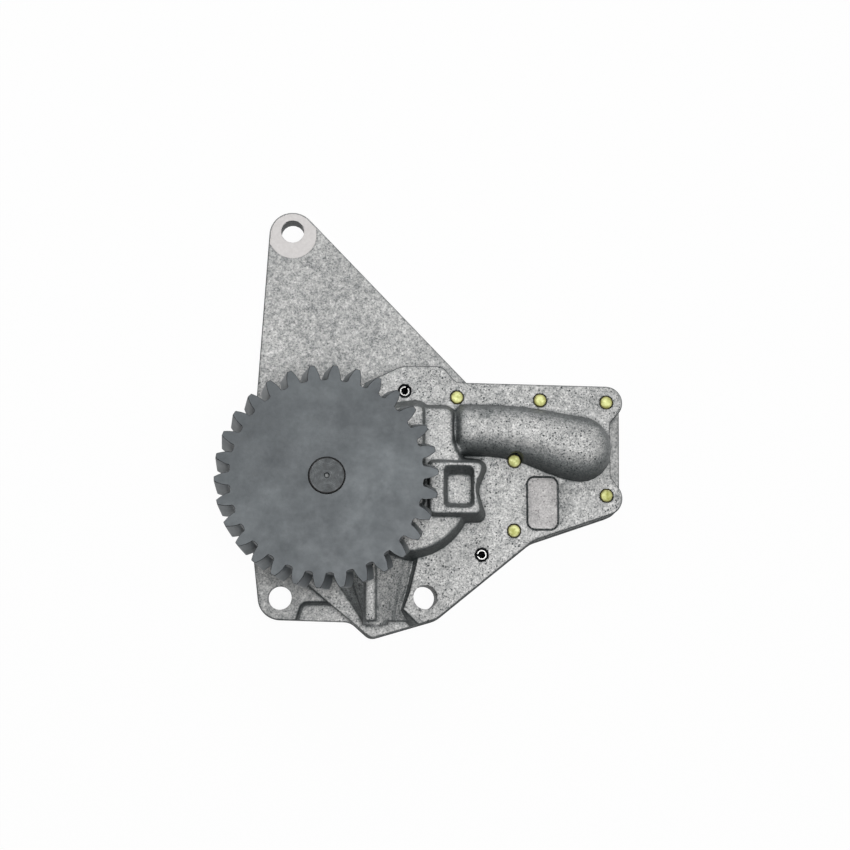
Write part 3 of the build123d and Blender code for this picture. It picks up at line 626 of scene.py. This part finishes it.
def helical_gear():
    """Drive gear with broken edges, rounded roots and the recess in its back."""
    low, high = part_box("drive_gear")
    width = high.z - low.z
    twist = width * math.tan(gear_helix) / (0.5 * gear_teeth * transverse_module)
    edge = 0.22 * MM
    outline = np.array([(r * math.cos(a), r * math.sin(a)) for r, a in gear_outline()])
    along = np.roll(outline, -1, axis=0) - np.roll(outline, 1, axis=0)
    inward = np.stack([-along[:, 1], along[:, 0]], axis=1) / np.linalg.norm(along, axis=1)[:, None]
    inset = outline + edge * inward
    heading = outline / np.linalg.norm(outline, axis=1)[:, None]
    bore = circle_round("drive_shaft")[2]
    recess_inner, recess_outer, recess_depth, rim = 17.0 * MM, 36.0 * MM, 4.5 * MM, 41.5 * MM
    slices = 10
    rings = [(heading * (bore + edge), high.z), (heading * rim, high.z), (inset, high.z)]
    rings += [
        (outline, high.z - edge - (width - 2 * edge) * step / slices) for step in range(slices + 1)]
    rings += [
        (inset, low.z), (heading * rim, low.z), (heading * recess_outer, low.z),
        (heading * recess_outer, low.z + recess_depth), (heading * recess_inner, low.z + recess_depth),
        (heading * recess_inner, low.z), (heading * (bore + edge), low.z), (heading * bore, low.z + edge),
        (heading * bore, high.z - edge)]
    places = []
    for ring, z in rings:
        angle = twist * (high.z - z) / width
        x = ring[:, 0] * math.cos(angle) - ring[:, 1] * math.sin(angle)
        y = ring[:, 0] * math.sin(angle) + ring[:, 1] * math.cos(angle)
        places += [(a, b, z) for a, b in zip(x, y)]
    count = len(outline)
    faces = []
    for ring in range(len(rings)):
        this, below = ring * count, (ring + 1) % len(rings) * count
        faces += [
            (this + i, below + i, below + (i + 1) % count, this + (i + 1) % count) for i in range(count)]
    mesh = bpy.data.meshes.new("helical_gear")
    mesh.from_pydata(places, [], faces)
    mesh.shade_smooth()
    mesh.set_sharp_from_angle(angle=math.radians(28))
    piece = bpy.data.objects.new("helical_gear", mesh)
    bpy.context.scene.collection.objects.link(piece)
    return piece


def smooth_coil():
    """The relief valve's spring as a piece of its own."""
    piece = copy_of_node("relief_spring", "coil_spring")
    piece.data.shade_smooth()
    piece.data.set_sharp_from_angle(angle=math.radians(50))
    return piece


def pale_floor():
    """Pale matt floor that a camera, a reflection or a ray through glass sees as almost even white."""
    material = bpy.data.materials.new("pale_floor")
    material.use_nodes = True
    tree = material.node_tree
    tree.nodes.clear()
    output = tree.nodes.new("ShaderNodeOutputMaterial")
    diffuse = tree.nodes.new("ShaderNodeBsdfDiffuse")
    diffuse.inputs["Color"].default_value = (0.82, 0.82, 0.82, 1)
    glow = tree.nodes.new("ShaderNodeEmission")
    glow.inputs["Color"].default_value = (1, 1, 1, 1)
    glow.inputs["Strength"].default_value = 1.0
    path = tree.nodes.new("ShaderNodeLightPath").outputs
    seen = math_node(tree, "MAXIMUM", path["Is Camera Ray"], path["Is Glossy Ray"])
    seen = math_node(tree, "MAXIMUM", seen, path["Is Transmission Ray"])
    blend = tree.nodes.new("ShaderNodeMixShader")
    tree.links.new(times(tree, seen, 0.96), blend.inputs[0])
    tree.links.new(diffuse.outputs[0], blend.inputs[1])
    tree.links.new(glow.outputs[0], blend.inputs[2])
    tree.links.new(blend.outputs[0], output.inputs["Surface"])
    return material


def floor_and_light():
    """Round floor that curves up into a wall, a faint world and two soft lamps."""
    flat_radius, curve_radius, wall_top, around, curve_steps = 6.0, 1.5, 5.0, 64, 12
    profile = [(flat_radius, 0.0)]
    profile += [
        (flat_radius + curve_radius * math.sin(turn), curve_radius * (1 - math.cos(turn)))
        for turn in (math.pi / 2 * step / curve_steps for step in range(1, curve_steps + 1))]
    profile.append((flat_radius + curve_radius, wall_top))
    places = [
        (radius * math.cos(2 * math.pi * i / around), radius * math.sin(2 * math.pi * i / around), z)
        for radius, z in profile for i in range(around)]
    faces = [tuple(range(around))]
    for ring in range(len(profile) - 1):
        this, above = ring * around, (ring + 1) * around
        faces += [
            (above + i, above + (i + 1) % around, this + (i + 1) % around, this + i) for i in range(around)]
    mesh = bpy.data.meshes.new("floor")
    mesh.from_pydata(places, [], faces)
    mesh.shade_smooth()
    mesh.materials.append(pale_floor())
    floor = bpy.data.objects.new("floor", mesh)
    floor.location.z = -0.1 * MM
    bpy.context.scene.collection.objects.link(floor)

    world = bpy.data.worlds.new("studio")
    bpy.context.scene.world = world
    world.use_nodes = True
    background = world.node_tree.nodes["Background"]
    background.inputs["Color"].default_value = (1, 1, 1, 1)
    background.inputs["Strength"].default_value = 0.05

    aim = Vector((0.04, 0.03, 0))
    for name, place, size, power in (
        ("key_lamp", (0.14, -0.09, 1.27), 0.6, 11.4),
        ("top_lamp", (-0.20, 1.0, 0.85), 0.5, 6.0),
    ):
        lamp = bpy.data.lights.new(name, "AREA")
        lamp.shape = "SQUARE"
        lamp.size = size
        lamp.energy = power
        holder = bpy.data.objects.new(name, lamp)
        holder.location = place
        holder.rotation_euler = (aim - Vector(place)).to_track_quat("-Z", "Y").to_euler()
        bpy.context.scene.collection.objects.link(holder)


def camera():
    """The photograph's camera, as fitted to the two faces of the drive gear."""
    place = (1.1 * MM, -72.3 * MM, 692.6 * MM)
    tip, turn = math.radians(-8.55), math.radians(3.79)
    to_camera = Matrix.Rotation(tip, 3, "X") @ Matrix.Rotation(turn, 3, "Y")
    data = bpy.data.cameras.new("camera")
    data.sensor_width = 36.0
    data.lens = 61.54
    data.clip_start = 0.01
    data.clip_end = 50.0
    holder = bpy.data.objects.new("camera", data)
    holder.matrix_world = Matrix.Translation(place) @ to_camera.transposed().to_4x4()
    bpy.context.scene.collection.objects.link(holder)
    bpy.context.scene.camera = holder


def dress(piece, material, body, node):
    """Let a piece stand for a node, on its body, with a material."""
    piece.data.materials.clear()
    piece.data.materials.append(material)
    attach(piece, body)
    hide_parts(node)


camera()
floor_and_light()

pins = ["upper_spring_pin", "lower_spring_pin"]
screws = holes_of(["cover_screws"])
screw_holes = [(x, y, radius + screw_room) for x, y, radius in screws]
pin_holes = [(x, y, radius + pin_room) for x, y, radius in holes_of(pins)]
aluminium = cast_aluminium()
dress(
    soft_casting(
        "front_housing", "front_casting", screw_holes + pin_holes + bores("lower_right_bolt_hole"),
        [plate_z, flange_z], front_softness, finish_front),
    aluminium, "housing", "front_housing")
dress(
    soft_casting(
        "rear_housing", "rear_casting",
        bores(
            "top_bolt_hole", "lower_left_bolt_hole", "lower_right_bolt_hole", "suction_port",
            "pressure_port"),
        [0.0, spot_face_z, plate_z], rear_softness),
    aluminium, "housing", "rear_housing")
dress(helical_gear(), dark_steel(), "drive", "drive_gear")
paint(["drive_shaft"], turned_steel())
paint(["cover_screws"], yellow_zinc(screws))

# The spring pins and the relief valve's spring, in blackened spring steel
spring_finish = spring_steel()
paint(pins, spring_finish)
coil = smooth_coil()
dress(coil, spring_finish, "housing", "relief_spring")
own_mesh(coil)

paint(
    ["front_bush", "rear_bush", "idler_bush", "thrust_washer"],
    plain_finish("bronze", (0.42, 0.27, 0.12), (0.62, 0.44, 0.24), 0.9, 0.28, 0.42))
paint(
    ["pump_drive_gear", "pump_idler_gear", "pump_gear_key", "idler_shaft", "relief_plug", "relief_shim",
     "relief_piston"],
    plain_finish("ground_steel", (0.42, 0.42, 0.43), (0.58, 0.58, 0.59), 0.9, 0.25, 0.38))
paint(
    ["pressure_port_seal", "suction_port_seal"],
    plain_finish("black_rubber", (0.015, 0.015, 0.015), (0.03, 0.03, 0.03), 0.0, 0.5, 0.65))

bpy.context.scene.view_settings.view_transform = "Standard"
